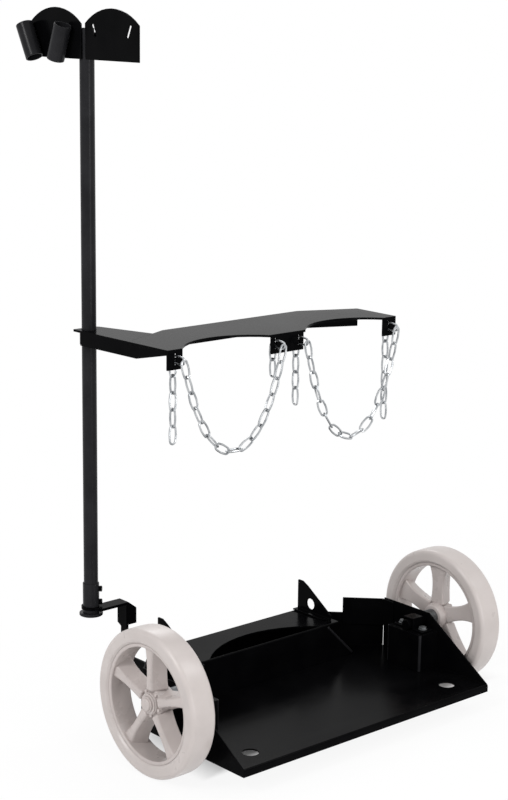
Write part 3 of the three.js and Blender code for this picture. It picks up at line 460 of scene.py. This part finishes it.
boltWork = {
    "radius": 4, "end": 2, "gap": 0.3, "lip": 0.9, "steps": 24, "nutHeight": 6,
    "headSides": 6, "headRadius": 7.5, "headHeight": 5, "chamfer": 0.9, "chamferSteps": 2, "reach": 0.01,
    "flange": 8.6, "flangeHeight": 1.2, "flangeLip": 0.4, "flangeSteps": 32,
    "screw": 3, "screwHead": 5.5, "screwLow": 8.2, "screwSeat": 14.9, "screwSink": 1, "screwLip": 0.7,
    "strapX": 265.5, "strapZ": 120.5, "strapGrip": 6.3, "strapPlaces": {1: -24.8, 2: 24.8},
    "legX": -203, "legY": 270, "legGrip": 10.3, "legPlaces": {1: 68, 2: 86},
    "socketTurn": 45, "socketPlaces": {1: 205.5, 2: 229.5},
}
b = boltWork


def hexagon(radius, low, high, chamfered):
    # chamfered at the low or the high end
    bm = bmesh.new()
    bmesh.ops.create_cone(bm, cap_ends=True, segments=b["headSides"], radius1=radius, radius2=radius,
                          depth=high - low, matrix=Matrix.Translation((0, 0, (low + high) / 2)))
    ends = [e for e in bm.edges if all(abs(v.co.z - chamfered) < b["reach"] for v in e.verts)]
    roundEdges(bm, ends, b["chamfer"], b["chamferSteps"])
    return bm


def boltShape(grip):
    # along Z through a stack from 0 to grip, head below, nut above
    headTop = -b["gap"]
    headLow = headTop - b["headHeight"]
    seat = headTop - b["flangeHeight"]
    nutLow = grip + b["gap"]
    nutHigh = nutLow + b["nutHeight"]
    bm = bmesh.new()
    addShape(bm, hexagon(b["headRadius"], headLow, seat, headLow))
    addShape(bm, barShape(b["flange"], seat, headTop, b["flangeLip"], b["flangeSteps"]))
    addShape(bm, hexagon(b["headRadius"], nutLow, nutHigh, nutHigh))
    addShape(bm, barShape(b["radius"], -b["headHeight"] / 2, nutHigh + b["end"], b["lip"], b["steps"]))
    return bm


def screwShape():
    seat = b["screwSeat"]
    headTop = seat + b["headHeight"]
    bm = bmesh.new()
    addShape(bm, hexagon(b["screwHead"], seat, headTop, headTop))
    addShape(bm, barShape(b["screw"], b["screwLow"], seat + b["screwSink"], b["screwLip"], b["steps"]))
    return bm


headUp = Matrix.Rotation(math.pi, 4, "X")
alongX = Matrix.Rotation(quarter, 4, "Y")
towardsFront = Matrix.Rotation(quarter, 4, "X")
for word, side in (("left", -1), ("right", 1)):
    for i, y in b["strapPlaces"].items():
        place = Matrix.Translation((side * b["strapX"], y, b["strapZ"])) @ headUp
        finishPiece(f"{word}_strap_bolt_{i}_set", boltShape(b["strapGrip"]), "rack", "dullZinc",
                    [f"{word}_strap_bolt_{i}"], place)
for i, z in b["socketPlaces"].items():
    turned = Matrix.Rotation(math.radians(b["socketTurn"]), 4, "Z")
    place = Matrix.Translation((postWork["x"], postWork["y"], z)) @ turned @ towardsFront
    finishPiece(f"socket_bolt_{i}_set", screwShape(), "rack", "glossBlackPaint",
                [f"socket_bolt_{i}"], place)
for i, z in b["legPlaces"].items():
    place = Matrix.Translation((b["legX"], b["legY"], z)) @ alongX
    finishPiece(f"leg_bolt_{i}_set", boltShape(b["legGrip"]), "rack", "dullZinc",
                [f"leg_bolt_{i}"], place)
print("bolts set")

chainWork = {
    "wire": 1.8, "pitch": 28.5, "width": 15, "bite": 0.1, "wireSides": 10, "bendSteps": 8, "merge": 0.01,
    "bulge": 0.7, "bows": (1, 0.5, -0.5, -1),   # a link's side runs back in steps, bowed outwards
    "slotZ": 680, "backY": 68.2,
    # start and end slots, links in the loop, links in the tails at the start and the end
    "runs": {"left_chain": (-253.5, -33.5, 15, 5, 2), "right_chain": (20.5, 240.5, 16, 4, 6)},
}
c = chainWork


def linkShape():
    bend = c["width"] / 2 - c["wire"]
    half = c["pitch"] / 2 + c["wire"] - c["bite"] - bend
    stride = 2 * half / len(c["bows"])
    bm = bmesh.new()
    start = Matrix.Translation((bend, half, 0)) @ Matrix.Rotation(quarter, 4, "X")
    bmesh.ops.create_circle(bm, segments=c["wireSides"], radius=c["wire"], matrix=start)
    ends = bm.verts[:] + bm.edges[:]
    for side in (1, -1):
        swept = bmesh.ops.spin(bm, geom=ends, cent=(0, side * half, 0), axis=(0, 0, 1), angle=math.pi,
                               steps=c["bendSteps"])
        loop = [e for e in swept["geom_last"] if isinstance(e, bmesh.types.BMEdge)]
        for bow in c["bows"]:
            straight = bmesh.ops.extrude_edge_only(bm, edges=loop)
            moved = [v for v in straight["geom"] if isinstance(v, bmesh.types.BMVert)]
            bmesh.ops.translate(bm, verts=moved, vec=(-side * bow * c["bulge"], -side * stride, 0))
            loop = [e for e in straight["geom"] if isinstance(e, bmesh.types.BMEdge)
                    and all(v in moved for v in e.verts)]
        ends = moved + loop
    bmesh.ops.remove_doubles(bm, verts=bm.verts, dist=c["merge"])
    bmesh.ops.recalc_face_normals(bm, faces=bm.faces)
    return bm


def linkPlace(start, end, side):
    along = (end - start).normalized()
    wide = (side - along * side.dot(along)).normalized()
    turned = Matrix((wide, along, wide.cross(along))).transposed().to_4x4()
    return Matrix.Translation((start + end) / 2) @ turned


def hangingPoints(startX, endX, y, z, links):
    # joints of links on the curve of a hanging chain, whose slackness is found by halving
    length = links * c["pitch"]
    span = endX - startX
    low, high, near = 0.01, 20, 1e-9   # bounds of the slackness, and when to stop
    while high - low > near:
        guess = (low + high) / 2
        if math.sinh(guess) / guess < length / span:
            low = guess
        else:
            high = guess
    scale = span / (2 * low)
    points = []
    for i in range(links + 1):
        x = scale * math.asinh((i * c["pitch"] - length / 2) / scale)
        drop = scale * (math.cosh(x / scale) - math.cosh(low))
        points.append(Vector(((startX + endX) / 2 + x, y, z + drop)))
    return points


def runPlaces(points, twist):
    # each link is a quarter turn from the last, and shares in the twist
    across = Vector((0, 1, 0))
    step = quarter + twist / (len(points) - 2)
    places = []
    for i, (start, end) in enumerate(zip(points, points[1:])):
        inPlane = across.cross(end - start).normalized()
        places.append(linkPlace(start, end, inPlane * math.cos(i * step) + across * math.sin(i * step)))
    return places


link = linkShape()
for node, (startX, endX, loopLinks, startTail, endTail) in c["runs"].items():
    frontY = c["backY"] - c["pitch"]
    twist = quarter if loopLinks % 2 == 0 else 0
    places = runPlaces(hangingPoints(startX, endX, frontY, c["slotZ"], loopLinks), twist)
    for x, tail in ((startX, startTail), (endX, endTail)):
        front, back = Vector((x, frontY, c["slotZ"])), Vector((x, c["backY"], c["slotZ"]))
        places.append(linkPlace(front, back, Vector((0, 0, 1))))
        points = [back - Vector((0, 0, i * c["pitch"])) for i in range(tail + 1)]
        places += runPlaces(points, 0)
    bm = bmesh.new()
    for place in places:
        addShape(bm, link.copy(), place)
    finishPiece(node + "_welded", bm, node, "brightZinc", [node])
link.free()
print("chains hung")

# lengths in metres, the lamps' from the middle of the cart and the dim floor's from the axle
studio = {
    "floorSize": 30, "paper": "#f4f4f4", "paperRoughness": 0.9, "sky": "#ffffff", "skyLight": 0.7,
    # the floor under the tray stays dim, and whitens with distance from there
    "dimX": 0.07, "dimY": 0.05, "dimHalfWidth": 0.3, "dimHalfLength": 0.1, "farWidths": 10,
    "whiteness": [(0.088, 0.05), (0.125, 0.9), (0.7, 1)],
    # name: place, target, width and height, power
    "lamps": {
        "key": ((-2.9, -0.3, 2.6), (0, 0, 0.6), (0.8, 0.8), 46),
        "front": ((-0.3, -2.8, 0.9), (-0.1, 0, 0.7), (0.5, 1.7), 18),
        "fill": ((2.2, -2.2, 3.3), (0, 0, 0.5), (1.0, 1.4), 26),
        "rear": ((1.6, 2.8, 2.6), (0, 0, 0.7), (1.8, 1.2), 26),
    },
}


def seenPlain(tree):
    # 1 for what the camera sees itself, in metal or through glass
    path = addNode(tree, "ShaderNodeLightPath").outputs
    seen = path["Is Camera Ray"]
    for ray in ("Is Glossy Ray", "Is Transmission Ray"):
        seen = addNode(tree, "ShaderNodeMath", {0: seen, 1: path[ray]}, operation="MAXIMUM").outputs[0]
    return seen


bm = bmesh.new()
bmesh.ops.create_grid(bm, x_segments=2, y_segments=2, size=studio["floorSize"])
floorMesh = bpy.data.meshes.new("floor")
bm.to_mesh(floorMesh)
bm.free()
floor = bpy.data.objects.new("floor", floorMesh)
scene.collection.objects.link(floor)
paper = bpy.data.materials.new("paleFloor")   # white paper that keeps a soft shadow
paper.use_nodes = True
floorMesh.materials.append(paper)
tree = paper.node_tree
lit = tree.nodes["Principled BSDF"]
lit.inputs["Base Color"].default_value = hexColour(studio["paper"])
lit.inputs["Roughness"].default_value = studio["paperRoughness"]
place = addNode(tree, "ShaderNodeTexCoord").outputs["Object"]
shrink = (1 / studio["dimHalfWidth"], 1 / studio["dimHalfLength"], 1)
shift = (-studio["dimX"] * shrink[0], -(axleY + studio["dimY"]) * shrink[1], 0)
fromTray = addNode(tree, "ShaderNodeMapping", {"Vector": place, "Scale": shrink, "Location": shift})
unsigned = addNode(tree, "ShaderNodeVectorMath", {0: fromTray.outputs[0]}, operation="ABSOLUTE")
sides = addNode(tree, "ShaderNodeSeparateXYZ", {0: unsigned.outputs[0]}).outputs
away = addNode(tree, "ShaderNodeMath", {0: sides["X"], 1: sides["Y"]}, operation="MAXIMUM")
share = addNode(tree, "ShaderNodeMath", {0: away.outputs[0], 1: studio["farWidths"]}, operation="DIVIDE")
ramp = addNode(tree, "ShaderNodeValToRGB", {"Fac": share.outputs[0]})
ramp.color_ramp.elements.new(0.5)
for stop, (position, level) in zip(ramp.color_ramp.elements, studio["whiteness"]):
    stop.position = position
    stop.color = (level, level, level, 1)
shown = {0: ramp.outputs["Color"], 1: seenPlain(tree)}
amount = addNode(tree, "ShaderNodeMath", shown, operation="MULTIPLY")
white = addNode(tree, "ShaderNodeEmission", {"Strength": 1})
either = {0: amount.outputs[0], 1: lit.outputs[0], 2: white.outputs[0]}
blend = addNode(tree, "ShaderNodeMixShader", either)
tree.links.new(blend.outputs[0], tree.nodes["Material Output"].inputs["Surface"])

world = bpy.data.worlds.new("studio")
scene.world = world
world.use_nodes = True
tree = world.node_tree
tree.nodes.clear()
sky = hexColour(studio["sky"])
soft = addNode(tree, "ShaderNodeBackground", {"Color": sky, "Strength": studio["skyLight"]})
plain = addNode(tree, "ShaderNodeBackground", {"Color": sky, "Strength": 1})
either = {0: seenPlain(tree), 1: soft.outputs[0], 2: plain.outputs[0]}
blend = addNode(tree, "ShaderNodeMixShader", either)
addNode(tree, "ShaderNodeOutputWorld", {"Surface": blend.outputs[0]})

for name, (place, target, size, power) in studio["lamps"].items():
    data = bpy.data.lights.new(name, "AREA")
    data.shape = "RECTANGLE"
    data.size, data.size_y = size
    data.energy = power
    lamp = bpy.data.objects.new(name, data)
    scene.collection.objects.link(lamp)
    aim = (Vector(target) - Vector(place)).to_track_quat("-Z", "Y").to_matrix().to_4x4()
    lamp.matrix_world = Matrix.Translation(place) @ aim

# place from the axle in metres, angles in degrees, focal length and picture height in pixels
cameraWork = {
    "place": (-2.1128, -2.2405, 1.2801), "yaw": 41.432, "pitch": 12.703, "roll": 0.710,
    "focal": 1845.12, "tall": 800, "sensor": 36,
}
lens = bpy.data.cameras.new("camera")
lens.sensor_width = cameraWork["sensor"]
lens.lens = cameraWork["focal"] * cameraWork["sensor"] / cameraWork["tall"]
camera = bpy.data.objects.new("camera", lens)
scene.collection.objects.link(camera)
yaw, pitch, roll = (math.radians(cameraWork[key]) for key in ("yaw", "pitch", "roll"))
forward = Vector((math.sin(yaw) * math.cos(pitch), math.cos(yaw) * math.cos(pitch), -math.sin(pitch)))
right = Vector((math.cos(yaw), -math.sin(yaw), 0))
up = right.cross(forward)
rolledRight = right * math.cos(roll) + up * math.sin(roll)
rolledUp = up * math.cos(roll) - right * math.sin(roll)
axes = Matrix((rolledRight, rolledUp, -forward)).transposed().to_4x4()
camera.matrix_world = Matrix.Translation(Vector(cameraWork["place"]) + Vector((0, axleY, 0))) @ axes
scene.camera = camera
scene.view_settings.view_transform = "Standard"
print("studio set")
